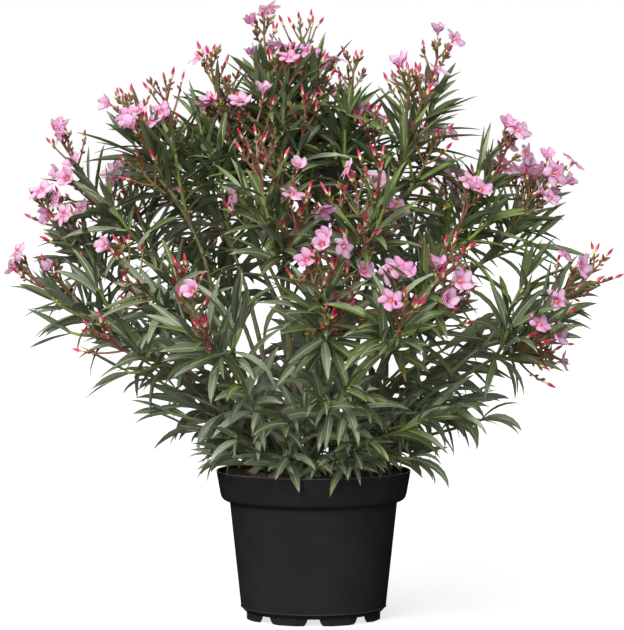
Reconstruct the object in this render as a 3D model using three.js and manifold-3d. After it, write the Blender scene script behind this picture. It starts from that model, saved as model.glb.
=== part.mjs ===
// Potted oleander: a many-stemmed flowering shrub in a round nursery container.
// Millimetres, +Z up, origin at the centre of the container's underside, front towards -Y.
import * as THREE from "three";
import { mergeVertices } from "three/addons/utils/BufferGeometryUtils.js";
import Module from "manifold-3d";

const wasm = await Module();
wasm.setup();

// ---------------------------------------------------------------- driving dimensions

const seatGap = 0.3; // clearance where one solid is seated against its neighbour

const pot = {
  height: 244,
  rimRadius: 160,
  collarRadius: 153.3, // at the collar's lower edge
  collarHeight: 40,
  shoulderDrop: 10.5, // the rounded step under the collar
  shoulderRadius: 137.5,
  bodyFootRadius: 118.6,
  bodyFootZ: 24,
  ringRadius: 112.5, // the foot ring
  ringHeight: 12,
  ringWall: 5,
  wall: 2.6,
  floor: 3,
  lip: 1,
  segments: 32,
};

const notch = { count: 8, topWidth: 22, footWidth: 30, height: 9.5 }; // gaps in the foot ring
const drain = { count: 8, radius: 7, pitchRadius: 88, sides: 8 }; // holes in the floor

const substrate = { edgeBelowRim: 10, plateauBelowRim: 4, plateauRadius: 104, segments: 32 };

const stemSize = {
  sides: 6,
  steps: 6,
  footRadius: 5.6,
  endRadius: 3.6,
  flare: 0.6, // what the root flare adds, as a share of the radius
  flareShare: 0.05, // the flare's share of the stem's length
};
const boughSize = { sides: 6, steps: 5, footRadius: 4.3, endRadius: 3.2, flare: 0.25, flareShare: 0.1 };

const rooting = { innerRadius: 26, perReach: 0.112 }; // how far from the centre a stem stands
const lean = { archDeg: 13, footPull: 0.36, tipPull: 0.3 }; // stems start steeper and end flatter
const stemBare = 0.43; // the share of a stem below its foliage
const fork = { at: 0.3, turn: 0.85, bare: 0.36 }; // where and how sharply a bough leaves a stem

const foliage = {
  sides: 8,
  rings: 6,
  entry: 0.05, // how far a limb runs into its foliage, as a share of the whole shoot
  apart: 4, // the space between neighbours
  search: 4, // the step of the search for a neighbour
  lowest: 247, // above the substrate and the rim
  lump: 0.13,
  cyme: 0.42, // the flower head's width against the leaves'
};

// Stems that run from the substrate to the crown. bearing is in degrees from +X towards +Y,
// reach is the tip's distance from the pot's axis, top its height, spread the foliage's radius.
const stems = [
  { name: "left_low", bearing: 187, reach: 505, top: 597, spread: 80 },
  { name: "left_tall", bearing: 176, reach: 437, top: 808, spread: 96 },
  { name: "left_crown", bearing: 167, reach: 271, top: 900, spread: 86 },
  { name: "crest_left", bearing: 161, reach: 92, top: 1012, spread: 84 },
  { name: "crest_right", bearing: 102, reach: 102, top: 1003, spread: 80 },
  { name: "right_crown", bearing: 356, reach: 218, top: 968, spread: 100 },
  { name: "right_tall", bearing: 3, reach: 345, top: 815, spread: 92 },
  { name: "right_low", bearing: 358, reach: 500, top: 602, spread: 80 },
  { name: "side_left", bearing: 213, reach: 385, top: 622, spread: 84 },
  { name: "front_left", bearing: 237, reach: 392, top: 548, spread: 98 },
  { name: "front_middle", bearing: 275, reach: 305, top: 628, spread: 96 },
  { name: "front_right", bearing: 310, reach: 362, top: 632, spread: 94 },
  { name: "inner_left", bearing: 244, reach: 222, top: 802, spread: 96 },
  { name: "inner_right", bearing: 303, reach: 216, top: 780, spread: 92 },
  { name: "back_left", bearing: 128, reach: 400, top: 725, spread: 106 },
  { name: "back_right", bearing: 54, reach: 400, top: 720, spread: 106 },
  { name: "back_tall", bearing: 88, reach: 310, top: 866, spread: 102 },
];

// Boughs that leave a stem at its fork.
const boughs = [
  { name: "left_low_side", of: "left_low", bearing: 177, reach: 475, top: 706, spread: 76 },
  { name: "left_tall_side", of: "left_tall", bearing: 184, reach: 326, top: 880, spread: 74 },
  { name: "crest_left_side", of: "crest_left", bearing: 147, reach: 219, top: 958, spread: 74 },
  { name: "crest_right_side", of: "crest_right", bearing: 38, reach: 88, top: 950, spread: 74 },
  { name: "right_tall_side", of: "right_tall", bearing: 9, reach: 428, top: 757, spread: 74 },
  { name: "right_low_side", of: "right_low", bearing: 338, reach: 446, top: 496, spread: 78 },
  { name: "side_left_side", of: "side_left", bearing: 206, reach: 412, top: 484, spread: 80 },
  { name: "front_right_side", of: "front_right", bearing: 291, reach: 412, top: 538, spread: 84 },
];

// Leafy side shoots low on the clump, whose foliage fills its foot and hangs over the rim.
const skirts = [
  { name: "front_left", bearing: 249, reach: 345, top: 430, spread: 84 },
  { name: "front", bearing: 281, reach: 335, top: 415, spread: 84 },
  { name: "front_right", bearing: 320, reach: 340, top: 372, spread: 84 },
  { name: "right", bearing: 350, reach: 335, top: 352, spread: 72 },
  { name: "back_right", bearing: 28, reach: 415, top: 500, spread: 96 },
  { name: "back", bearing: 90, reach: 386, top: 500, spread: 100 },
  { name: "back_left", bearing: 148, reach: 412, top: 512, spread: 92 },
  { name: "left", bearing: 200, reach: 300, top: 362, spread: 72 },
];
const skirtFoot = { radius: 76, z: 300 };

// ---------------------------------------------------------------- materials

function finish(hex, roughness) {
  return new THREE.MeshStandardMaterial({ color: hex, roughness, metalness: 0 });
}

const materials = {
  pot: finish(0x262728, 0.5),
  substrate: finish(0x3a2a22, 0.95),
  stem: finish(0x6a5c45, 0.75),
  foliage: finish(0x46583f, 0.6),
};

// ---------------------------------------------------------------- solids and meshes

// A closed three.js geometry as a solid that can be joined and cut.
function solidOf(geometry) {
  const bare = geometry.clone();
  bare.deleteAttribute("normal");
  bare.deleteAttribute("uv");
  const merged = mergeVertices(bare, 1e-3);
  return new wasm.Manifold(
    new wasm.Mesh({
      numProp: 3,
      vertProperties: new Float32Array(merged.attributes.position.array),
      triVerts: new Uint32Array(merged.index.array),
    }),
  );
}

// The largest body of a solid, since a cut can leave chips.
function largest(solid) {
  return solid.decompose().sort((a, b) => b.volume() - a.volume())[0];
}

function meshOf(solid, material, name) {
  const made = solid.getMesh();
  const geometry = new THREE.BufferGeometry();
  geometry.setAttribute("position", new THREE.BufferAttribute(made.vertProperties, 3));
  geometry.setIndex(new THREE.BufferAttribute(made.triVerts, 1));
  geometry.computeVertexNormals();
  const mesh = new THREE.Mesh(geometry, material);
  mesh.name = name;
  return mesh;
}

// A profile of [radius, height] pairs, from the axis at the bottom round to the axis again,
// turned about +Z.
function turned(profile, segments) {
  const points = profile.map(([r, z]) => new THREE.Vector2(r, z));
  return new THREE.LatheGeometry(points, segments).rotateX(Math.PI / 2);
}

// The angle of copy i of count, evenly round a circle.
function turn(i, count) {
  return (i * 2 * Math.PI) / count;
}

// ---------------------------------------------------------------- container and substrate

const collarZ = pot.height - pot.collarHeight;
const shoulderZ = collarZ - pot.shoulderDrop;
const floorZ = pot.ringHeight + pot.floor;

// The container's inside from the floor's edge up to the lip, drawn in by a clearance.
function inside(clearance) {
  const inset = pot.wall + clearance;
  return [
    [pot.ringRadius - inset - 1, floorZ + clearance],
    [pot.bodyFootRadius - inset, pot.bodyFootZ],
    [pot.shoulderRadius - inset, shoulderZ],
    [pot.collarRadius - inset, collarZ],
    [pot.rimRadius - inset, pot.height - pot.lip],
  ];
}

// The container's outside from its foot ring to its lip.
const outside = [
  [pot.ringRadius, 0],
  [pot.ringRadius + 0.5, pot.ringHeight],
  [pot.bodyFootRadius, pot.bodyFootZ],
  [pot.shoulderRadius, shoulderZ],
  [(pot.shoulderRadius + 2 * pot.collarRadius) / 3, shoulderZ + 0.4 * pot.shoulderDrop],
  [pot.collarRadius, collarZ],
  [pot.rimRadius, pot.height - pot.lip],
  [pot.rimRadius - pot.wall / 2, pot.height],
];

// A trapezium standing on the ground line, cut radially through the foot ring.
function notchTool(angle) {
  const half = notch.footWidth / 2;
  const halfTop = notch.topWidth / 2;
  const outline = new THREE.Shape([
    new THREE.Vector2(-half, -1),
    new THREE.Vector2(half, -1),
    new THREE.Vector2(halfTop, notch.height),
    new THREE.Vector2(-halfTop, notch.height),
  ]);
  const depth = 3 * pot.ringWall;
  const tool = new THREE.ExtrudeGeometry(outline, { depth, bevelEnabled: false });
  tool.translate(0, 0, pot.ringRadius - 2 * pot.ringWall);
  tool.rotateX(Math.PI / 2); // the extrusion now runs along -Y and the outline stands up
  return solidOf(tool.rotateZ(angle));
}

function drainTool(angle) {
  const hole = new THREE.CylinderGeometry(drain.radius, drain.radius, 4 * pot.floor, drain.sides);
  hole.rotateX(Math.PI / 2);
  hole.translate(drain.pitchRadius, 0, pot.ringHeight);
  return solidOf(hole.rotateZ(angle));
}

function potShell() {
  const ringInside = pot.ringRadius - pot.ringWall;
  const under = [
    [0, pot.ringHeight],
    [ringInside, pot.ringHeight],
    [ringInside, 0],
  ];
  const profile = [...under, ...outside, ...inside(0).toReversed(), [0, floorZ]];
  let shell = solidOf(turned(profile, pot.segments));
  for (let i = 0; i < notch.count; i++) shell = shell.subtract(notchTool(turn(i, notch.count)));
  for (let i = 0; i < drain.count; i++) shell = shell.subtract(drainTool(turn(i + 0.5, drain.count)));
  return shell;
}

const plateauZ = pot.height - substrate.plateauBelowRim;

function substrateFill() {
  const edgeZ = pot.height - substrate.edgeBelowRim;
  const [below, above] = inside(seatGap).slice(-2);
  const share = (edgeZ - below[1]) / (above[1] - below[1]);
  const edge = [below[0] + share * (above[0] - below[0]), edgeZ];
  const wall = [...inside(seatGap).slice(0, -1), edge];
  const profile = [[0, floorZ + seatGap], ...wall, [substrate.plateauRadius, plateauZ], [0, plateauZ]];
  return solidOf(turned(profile, substrate.segments));
}

// ---------------------------------------------------------------- shoots

// A point at a bearing in degrees, a distance from the axis and a height.
function place(bearing, radius, z) {
  const angle = THREE.MathUtils.degToRad(bearing);
  return new THREE.Vector3(radius * Math.cos(angle), radius * Math.sin(angle), z);
}

// A direction in the upright plane of a chord, tilted from it by some degrees.
function tilted(chord, degrees) {
  const flat = Math.hypot(chord.x, chord.y);
  const rise = Math.min(Math.atan2(chord.z, flat) + THREE.MathUtils.degToRad(degrees), 1.5);
  const level = new THREE.Vector3(chord.x, chord.y, 0).divideScalar(Math.max(flat, 1e-6));
  return level.multiplyScalar(Math.cos(rise)).setZ(Math.sin(rise));
}

// A shoot's whole line from its foot to its tip, leaving along a direction.
function shootLine(foot, tip, leaving) {
  const chord = tip.clone().sub(foot);
  const length = chord.length();
  const arriving = tilted(chord, -lean.archDeg);
  const p1 = foot.clone().addScaledVector(leaving, lean.footPull * length);
  const p2 = tip.clone().addScaledVector(arriving, -lean.tipPull * length);
  return new THREE.CubicBezierCurve3(foot, p1, p2, tip);
}

function stemLine(stem) {
  const foot = place(stem.bearing, rooting.innerRadius + rooting.perReach * stem.reach, plateauZ + seatGap);
  const tip = place(stem.bearing, stem.reach, stem.top);
  return shootLine(foot, tip, tilted(tip.clone().sub(foot), lean.archDeg));
}

function boughLine(bough, parent) {
  const foot = parent.getPoint(fork.at);
  const tip = place(bough.bearing, bough.reach, bough.top);
  const along = parent.getTangent(fork.at);
  const aside = tip.clone().sub(foot).normalize();
  aside.addScaledVector(along, -aside.dot(along)).normalize();
  return shootLine(foot, tip, along.addScaledVector(aside, fork.turn).normalize());
}

function skirtLine(skirt) {
  const foot = place(skirt.bearing, skirtFoot.radius, skirtFoot.z);
  return new THREE.LineCurve3(foot, place(skirt.bearing, skirt.reach, skirt.top));
}

// A closed form with rings from share a to share b of a line. radiusAt(share, angle) gives the
// surface's distance from the line, and freeTo(centre, across, radius) may shorten it.
function alongLine(line, a, b, steps, sides, radiusAt, freeTo = (centre, across, radius) => radius) {
  const part = new THREE.CatmullRomCurve3(
    Array.from({ length: steps + 1 }, (_, i) => line.getPoint(a + ((b - a) * i) / steps)),
  );
  const frames = part.computeFrenetFrames(steps, false);
  const form = new THREE.CylinderGeometry(1, 1, 1, sides, steps);
  const at = form.attributes.position;
  const spot = new THREE.Vector3();
  for (let i = 0; i < at.count; i++) {
    spot.fromBufferAttribute(at, i);
    const share = 0.5 - spot.y;
    const ring = Math.round(share * steps);
    const out = Math.hypot(spot.x, spot.z);
    const centre = part.getPoint(ring / steps);
    if (out > 0) {
      const across = new THREE.Vector3()
        .addScaledVector(frames.normals[ring], spot.x / out)
        .addScaledVector(frames.binormals[ring], spot.z / out);
      const radius = radiusAt(share, Math.atan2(spot.z, spot.x));
      centre.addScaledVector(across, freeTo(centre, across, radius));
    }
    at.setXYZ(i, centre.x, centre.y, centre.z);
  }
  return form;
}

// A tapering limb with a flare at its foot, from share a to share b of a line.
function limb(line, a, b, size, grow) {
  const radiusAt = (share) => {
    const flare = 1 + size.flare * Math.max(0, 1 - share / size.flareShare);
    return grow + flare * THREE.MathUtils.lerp(size.footRadius, size.endRadius, share);
  };
  const overrun = grow / line.getLength();
  return solidOf(alongLine(line, a, b + overrun, size.steps, size.sides, radiusAt));
}

// A stem starts below its foot and is cut off level on the substrate.
function stemSolid(line, grow) {
  const whole = limb(line, -stemSize.flareShare, stemBare, stemSize, grow);
  return whole.trimByPlane([0, 0, 1], plateauZ + seatGap);
}

// ---------------------------------------------------------------- foliage

// The outline of a shoot's foliage and flower head: its radius at a share of its length, against 1.
function headShape(share) {
  const filling = THREE.MathUtils.smoothstep(share, -0.14, 0.26);
  const narrowing = THREE.MathUtils.smoothstep(share, 0.64, 0.88);
  const closing = THREE.MathUtils.smoothstep(share, 0.86, 1.08);
  return filling * (1 - (1 - foliage.cyme) * narrowing) * (1 - closing);
}

// How near a point is to a shoot's foliage, as a share of its spread.
function nearness(point, shoot) {
  return Math.min(...shoot.samples.map((sample) => sample.distanceTo(point))) / shoot.spread;
}

// Foliage round a shoot's line, uneven, and ending halfway to its neighbours.
function foliageForm(shoot, others, order, grow) {
  const uneven = (share, angle) =>
    1 +
    foliage.lump * Math.sin(3 * angle + 1.7 * order) +
    foliage.lump * Math.sin(2 * angle - 9 * share + 2.3 * order);
  const wanted = (share, angle) => shoot.spread * headShape(share) * uneven(share, angle);
  const probe = new THREE.Vector3();
  const freeTo = (centre, across, radius) => {
    for (let r = foliage.search; r < radius; r += foliage.search) {
      probe.copy(centre).addScaledVector(across, r + foliage.apart);
      const own = nearness(probe, shoot);
      if (others.some((other) => nearness(probe, other) < own)) return r + grow;
    }
    return radius + grow;
  };
  const form = alongLine(shoot.line, shoot.from, 1, foliage.rings, foliage.sides, wanted, freeTo);
  const at = form.attributes.position;
  for (let i = 0; i < at.count; i++) at.setZ(i, Math.max(at.getZ(i), foliage.lowest));
  return solidOf(form);
}

// ---------------------------------------------------------------- the whole plant

const group = new THREE.Group();
group.add(meshOf(potShell(), materials.pot, "pot"));
group.add(meshOf(substrateFill(), materials.substrate, "substrate"));

const lines = new Map(stems.map((stem) => [stem.name, stemLine(stem)]));
const limbs = [];

for (const stem of stems) {
  const line = lines.get(stem.name);
  limbs.push({
    name: "stem_" + stem.name,
    solid: stemSolid(line, 0),
    grown: stemSolid(line, seatGap),
  });
}

for (const bough of boughs) {
  const line = boughLine(bough, lines.get(bough.of));
  lines.set(bough.name, line);
  const parent = limbs.find((one) => one.name === "stem_" + bough.of);
  limbs.push({
    name: "bough_" + bough.name,
    solid: largest(limb(line, 0, fork.bare, boughSize, 0).subtract(parent.grown)),
    grown: limb(line, 0, fork.bare, boughSize, seatGap),
  });
}

const shoots = [
  ...stems.map((stem) => ({ ...stem, line: lines.get(stem.name), from: stemBare - foliage.entry })),
  ...boughs.map((bough) => ({ ...bough, line: lines.get(bough.name), from: fork.bare - foliage.entry })),
  ...skirts.map((skirt) => ({ ...skirt, name: "low_" + skirt.name, line: skirtLine(skirt), from: 0 })),
];
for (const shoot of shoots) {
  const count = 14;
  shoot.samples = Array.from({ length: count }, (_, i) =>
    shoot.line.getPoint(THREE.MathUtils.lerp(shoot.from, 1, (i + 0.5) / count)),
  );
}

const masses = [];
shoots.forEach((shoot, order) => {
  const others = shoots.filter((other) => other !== shoot);
  const meeting = (whole) => masses.filter((mass) => mass.solid.intersect(whole).volume() > 0);
  const whole = foliageForm(shoot, others, order, 0);
  const cutters = [...limbs, ...meeting(whole)];
  masses.push({
    name: "foliage_" + shoot.name,
    solid: largest(cutters.reduce((left, one) => left.subtract(one.grown), whole)),
    grown: foliageForm(shoot, others, order, seatGap),
  });
});

for (const { name, solid } of limbs) group.add(meshOf(solid, materials.stem, name));
for (const { name, solid } of masses) group.add(meshOf(solid, materials.foliage, name));

export default group;
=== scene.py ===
import math

import bpy
import numpy as np
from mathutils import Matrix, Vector


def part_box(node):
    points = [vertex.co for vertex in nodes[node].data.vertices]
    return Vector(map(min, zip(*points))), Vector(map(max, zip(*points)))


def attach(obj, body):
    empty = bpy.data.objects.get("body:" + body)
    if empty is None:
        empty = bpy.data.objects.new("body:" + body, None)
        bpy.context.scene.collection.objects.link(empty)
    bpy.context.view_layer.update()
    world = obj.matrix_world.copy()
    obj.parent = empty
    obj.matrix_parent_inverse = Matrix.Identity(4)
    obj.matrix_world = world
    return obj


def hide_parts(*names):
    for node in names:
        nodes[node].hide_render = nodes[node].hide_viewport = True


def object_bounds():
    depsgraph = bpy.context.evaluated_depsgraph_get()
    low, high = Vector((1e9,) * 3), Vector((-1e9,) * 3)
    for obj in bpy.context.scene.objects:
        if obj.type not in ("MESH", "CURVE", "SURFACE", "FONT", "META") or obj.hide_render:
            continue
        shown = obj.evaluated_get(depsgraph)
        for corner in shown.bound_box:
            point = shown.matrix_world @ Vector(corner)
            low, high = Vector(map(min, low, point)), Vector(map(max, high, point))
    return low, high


# A potted oleander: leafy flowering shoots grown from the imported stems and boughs, in a nursery
# container. Metres, +Z up, front towards -Y.

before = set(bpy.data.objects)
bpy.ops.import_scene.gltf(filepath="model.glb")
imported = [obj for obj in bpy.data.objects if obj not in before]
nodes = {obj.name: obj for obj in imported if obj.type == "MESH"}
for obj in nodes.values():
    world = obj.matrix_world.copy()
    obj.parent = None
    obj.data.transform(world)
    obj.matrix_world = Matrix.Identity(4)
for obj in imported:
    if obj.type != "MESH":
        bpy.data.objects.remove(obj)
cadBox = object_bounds()
rng = np.random.default_rng(11)
up = np.array([0.0, 0.0, 1.0])
millimetre = 0.001
print("frame loaded:", len(nodes), "nodes")


# small sums on arrays of vectors

def unit(vectors):
    # every vector divided by its own length
    return vectors / np.maximum(np.linalg.norm(vectors, axis=-1, keepdims=True), 1e-9)


def dot(a, b):
    return (a * b).sum(-1, keepdims=True)


def mix(a, b, share):
    return a + (b - a) * share


def ease(values, low, high):
    # 0 below low, 1 above high, and an S curve between them
    t = np.clip((values - low) / (high - low), 0, 1)
    return t * t * (3 - 2 * t)


def around(axis, reference, angle):
    # the direction square to an axis, turned from the reference by an angle in radians
    side = unit(reference - dot(reference, axis) * axis)
    return side * np.cos(angle)[..., None] + np.cross(axis, side) * np.sin(angle)[..., None]


def anySide(axis):
    # a direction square to each axis: the level one, or +X where the axis is upright
    level = np.cross(axis, up)
    return unit(np.where(np.linalg.norm(level, axis=-1, keepdims=True) > 0.05, level, [1.0, 0, 0]))


def leaning(axis, side, degrees):
    # the directions that lean from an axis towards a side
    angle = np.radians(degrees)[:, None]
    return unit(np.cos(angle) * axis + np.sin(angle) * side)


# curves: each is four rows of coefficients, for 1, t, t squared and t cubed

def curveBetween(start, leaving, end, arriving):
    # the cubic that leaves start and reaches end with those slopes
    chord = end - start
    square, cube = 3 * chord - 2 * leaving - arriving, leaving + arriving - 2 * chord
    return np.stack([start, leaving, square, cube], axis=-2)


def curveThrough(points):
    # least squares cubic through the middle of a limb, against each point's share of its length
    middle = points.mean(0)
    axis = np.linalg.svd(points - middle, full_matrices=False)[2][0]
    axis = axis * np.sign(axis[2])
    along = (points - middle) @ axis
    share = (along - along.min()) / np.ptp(along)
    curve = np.linalg.lstsq(share[:, None] ** np.arange(4), points, rcond=None)[0]
    return curve, share


def onCurve(curves, share):
    return np.einsum("...k,...kc->...c", share[..., None] ** np.arange(4), curves)


def slopeOf(curves, share):
    powers = np.stack([0 * share, 0 * share + 1, 2 * share, 3 * share ** 2], axis=-1)
    return np.einsum("...k,...kc->...c", powers, curves)


def placeOn(curves, share):
    # points on the curves, and the directions that they run in there
    return onCurve(curves, share), unit(slopeOf(curves, share))


# skins: rings of points carried along paths, joined into closed shells

def rings(centres, tangent, normal, x, y):
    # each ring's points lie x to the side and y along the normal of their centre
    side = np.cross(tangent, normal)
    return centres[..., None, :] + x[..., None] * side[..., None, :] + y[..., None] * normal[..., None, :]


def tubes(curves, share, radius, sides):
    # round skins along curves, radius being one number for each row of each curve, or each point of it
    centres = onCurve(curves[:, None], share)
    tangent = unit(slopeOf(curves[:, None], share))
    normal = around(tangent, anySide(unit(curves[:, None, 1])), np.zeros(share.shape))
    angle = np.arange(sides) * 2 * np.pi / sides
    radius = radius if radius.ndim == 3 else radius[..., None]
    return rings(centres, tangent, normal, radius * np.sin(angle), radius * np.cos(angle))


def shell(skin, tone):
    # skin is copies x rows x sides points: four-cornered faces between the rings, and flat ends
    index = np.arange(skin[..., 0].size).reshape(skin.shape[:3])
    beside = np.roll(index, -1, axis=2)
    walls = np.stack([index[:, :-1], beside[:, :-1], beside[:, 1:], index[:, 1:]], axis=-1)
    tones = np.broadcast_to(tone, walls.shape[:3])
    ends = np.concatenate([index[:, 0, ::-1], index[:, -1]])
    endTones = np.concatenate([tones[:, 0, 0], tones[:, -1, 0]])
    row = np.broadcast_to(np.arange(skin.shape[1])[:, None], index.shape)
    return {"points": skin.reshape(-1, 3), "faces": [walls.reshape(-1, 4), ends],
            "tones": [tones.ravel(), endTones], "row": row.ravel()}


def makePiece(name, shells, materials, stands=(), sharpAlong=False, sharpAngle=50):
    # joins shells into one mesh, whose lengthwise edges stay crisp where sharpAlong is set
    starts = np.cumsum([0] + [len(s["points"]) for s in shells])
    points = np.concatenate([s["points"] for s in shells])
    faces = [f + start for s, start in zip(shells, starts) for f in s["faces"]]
    tones = np.concatenate([t for s in shells for t in s["tones"]])
    row = np.concatenate([s["row"] for s in shells])
    sizes = np.concatenate([np.full(len(f), f.shape[1]) for f in faces])
    corners = np.concatenate([f.ravel() for f in faces]).astype(np.int32)
    mesh = bpy.data.meshes.new(name)
    mesh.vertices.add(len(points))
    mesh.vertices.foreach_set("co", points.astype(np.float32).ravel())
    mesh.loops.add(len(corners))
    mesh.loops.foreach_set("vertex_index", corners)
    mesh.polygons.add(len(sizes))
    mesh.polygons.foreach_set("loop_start", (np.cumsum(sizes) - sizes).astype(np.int32))
    mesh.polygons.foreach_set("material_index", tones.astype(np.int32))
    mesh.update(calc_edges=True)
    mesh.shade_smooth()
    if sharpAlong:
        ends = np.zeros(len(mesh.edges) * 2, np.int32)
        mesh.edges.foreach_get("vertices", ends)
        pairs = row[ends.reshape(-1, 2)]
        mesh.edges.foreach_set("use_edge_sharp", pairs[:, 0] != pairs[:, 1])
    else:
        mesh.set_sharp_from_angle(angle=math.radians(sharpAngle))
    for material in materials:
        mesh.materials.append(material)
    piece = bpy.data.objects.new(name, mesh)
    bpy.context.scene.collection.objects.link(piece)
    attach(piece, "root")
    if stands:
        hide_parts(*stands)
    print(name, "made:", int((sizes - 2).sum()), "triangles")
    return piece


# materials

def linear(hexText):
    # an sRGB hex colour as linear red, green, blue and alpha
    parts = np.array([int(hexText[i:i + 2], 16) / 255 for i in (1, 3, 5)])
    parts = np.where(parts <= 0.04045, parts / 12.92, ((parts + 0.055) / 1.055) ** 2.4)
    return (*parts, 1.0)


def addNode(owner, kind, inputs=None, **settings):
    # one node of a material or the world, with its settings, its input values and its links
    tree = owner.node_tree
    node = tree.nodes.new(kind)
    for key, value in settings.items():
        setattr(node, key, value)
    for socket, value in (inputs or {}).items():
        if isinstance(value, bpy.types.NodeSocket):
            tree.links.new(value, node.inputs[socket])
        else:
            node.inputs[socket].default_value = value
    return node


def newMaterial(name):
    material = bpy.data.materials.new(name)
    material.use_nodes = True
    material.node_tree.nodes.clear()
    return material


def finished(material, surface):
    addNode(material, "ShaderNodeOutputMaterial", {"Surface": surface.outputs["BSDF"]})
    return material


def plantTissue(name, colour, roughness, **more):
    # waxy or soft plant tissue of one plain tint: it is the mix of tints, from spray to spray and
    # from part to part, that makes the plant look alive
    material = newMaterial(name)
    shader = addNode(material, "ShaderNodeBsdfPrincipled",
                     {"Base Color": linear(colour), "Roughness": roughness, "IOR": 1.45, **more})
    return finished(material, shader)


def tissuesOf(tints, roughness, **more):
    return [plantTissue(name, colour, roughness, **more) for name, colour in tints.items()]


def grainy(name, colours, patch, roughness, relief, reliefPatch, gloss=0.5):
    # a surface whose colour drifts over patches and whose relief has a finer grain, both sized in
    # metres. Real grain is finer still: this is as coarse as it needs to be to show
    material = newMaterial(name)
    place = addNode(material, "ShaderNodeTexCoord").outputs["Object"]
    drift = addNode(material, "ShaderNodeTexNoise", {"Vector": place, "Scale": 1 / patch, "Detail": 4.0})
    ramp = addNode(material, "ShaderNodeValToRGB", {"Fac": drift.outputs["Fac"]})
    # noise seldom leaves the middle of its range, so the whole change of colour lies there
    for element, at, colour in zip(ramp.color_ramp.elements, (0.36, 0.66), colours):
        element.position = at
        element.color = linear(colour)
    grain = addNode(material, "ShaderNodeTexNoise",
                    {"Vector": place, "Scale": 1 / reliefPatch, "Detail": 3.0})
    bump = addNode(material, "ShaderNodeBump",
                   {"Height": grain.outputs["Fac"], "Distance": relief, "Strength": 1.0})
    shader = addNode(material, "ShaderNodeBsdfPrincipled",
                     {"Base Color": ramp.outputs["Color"], "Roughness": roughness, "IOR": 1.5,
                      "Specular IOR Level": gloss, "Normal": bump.outputs["Normal"]})
    return finished(material, shader)


# camera and studio
view = {"distance": 5.0, "height": 0.72, "aim": (-0.0025, 0.0, 0.4986), "lens": 174.1, "clipEnd": 100}
studio = {"backdrop": "#ffffff", "skyLight": 0.24, "floor": "#8c8c8a", "floorGlow": 0.74,
          "floorRadius": 40, "floorSides": 64}
# broad soft lamps: the direction that each one shines from, and how wide it is in degrees
lamps = {"key": {"from": (-0.48, -0.95, 0.85), "strength": 3.9, "spread": 35},
         "fill": {"from": (0.8, -0.7, 0.6), "strength": 0.3, "spread": 50},
         "front": {"from": (-0.03, -1.0, 0.25), "strength": 1.8, "spread": 40},
         "top": {"from": (-0.5, 0.15, 1.1), "strength": 2.0, "spread": 60}}


def pointAt(thing, target):
    # turns a camera or lamp so that its -Z looks at the target
    thing.rotation_euler = (Vector(target) - thing.location).to_track_quat("-Z", "Y").to_euler()


def makeCamera():
    camera = bpy.data.objects.new("camera", bpy.data.cameras.new("camera"))
    camera.data.lens = view["lens"]
    camera.data.clip_end = view["clipEnd"]
    camera.location = (0, -view["distance"], view["height"])
    pointAt(camera, view["aim"])
    bpy.context.scene.collection.objects.link(camera)
    bpy.context.scene.camera = camera


def makeLamps():
    for name, light in lamps.items():
        lamp = bpy.data.objects.new(name, bpy.data.lights.new(name, "SUN"))
        lamp.data.energy = light["strength"]
        lamp.data.angle = math.radians(light["spread"])
        lamp.location = light["from"]
        pointAt(lamp, (0, 0, 0))
        bpy.context.scene.collection.objects.link(lamp)


def makeBackdrop():
    # white to the eye, while the light that it gives is dimmer and even
    world = bpy.data.worlds.new("studio")
    world.use_nodes = True
    seen = addNode(world, "ShaderNodeLightPath").outputs["Is Camera Ray"]
    strength = addNode(world, "ShaderNodeMath", {0: seen, 1: 1 - studio["skyLight"], 2: studio["skyLight"]},
                       operation="MULTIPLY_ADD")
    sky = world.node_tree.nodes["Background"]
    sky.inputs["Color"].default_value = linear(studio["backdrop"])
    world.node_tree.links.new(strength.outputs[0], sky.inputs["Strength"])
    bpy.context.scene.world = world
    bpy.context.scene.view_settings.view_transform = "Standard"


def makeFloor():
    # matt paint that throws little light up at the plant, and looks pale by a glow that only the
    # eye sees, so that shadows on it stay faint
    paint = newMaterial("mattFloorPaint")
    seen = addNode(paint, "ShaderNodeLightPath").outputs["Is Camera Ray"]
    glow = addNode(paint, "ShaderNodeMath", {0: seen, 1: studio["floorGlow"]}, operation="MULTIPLY")
    finished(paint, addNode(paint, "ShaderNodeBsdfPrincipled", {
        "Base Color": linear(studio["floor"]), "Roughness": 0.9, "Specular IOR Level": 0.0,
        "Emission Color": linear(studio["backdrop"]), "Emission Strength": glow.outputs[0]}))
    # one flat disc
    angle = np.linspace(0, 2 * np.pi, studio["floorSides"], endpoint=False)
    rim = studio["floorRadius"] * np.stack([np.cos(angle), np.sin(angle), 0 * angle], axis=1)
    mesh = bpy.data.meshes.new("floor")
    mesh.from_pydata(rim, [], [list(range(studio["floorSides"]))])
    mesh.materials.append(paint)
    floor = bpy.data.objects.new("floor", mesh)
    bpy.context.scene.collection.objects.link(floor)


makeCamera()
makeLamps()
makeBackdrop()
makeFloor()
print("camera, lamps, backdrop and floor made")


# container: black moulded polypropylene, satin, with a deep collar and a notched foot ring. The
# collar and shoulder are measured down from the lip, and the foot and its ring up from the floor
container = {"collarHeight": 0.040, "shoulderDrop": 0.0105, "shoulderRadius": 0.1381,
             "collarRadius": 0.1533, "bodyFootRadius": 0.1195, "bodyFootHeight": 0.0206,
             "bead": 0.0007, "ringRadius": 0.1125, "ringHeight": 0.012, "ringWall": 0.005,
             "wall": 0.0026, "floorThickness": 0.003, "notches": 8, "drainRadius": 0.007,
             "drainPitch": 0.088, "recessWidth": 0.052, "recessDepth": 0.0022, "columns": 240,
             # the lighter grey of the lip and the foot bead is a painted highlight
             "plastic": ("#1e1e1f", "#212123"), "rubbed": ("#37373a", "#48484a")}
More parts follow.
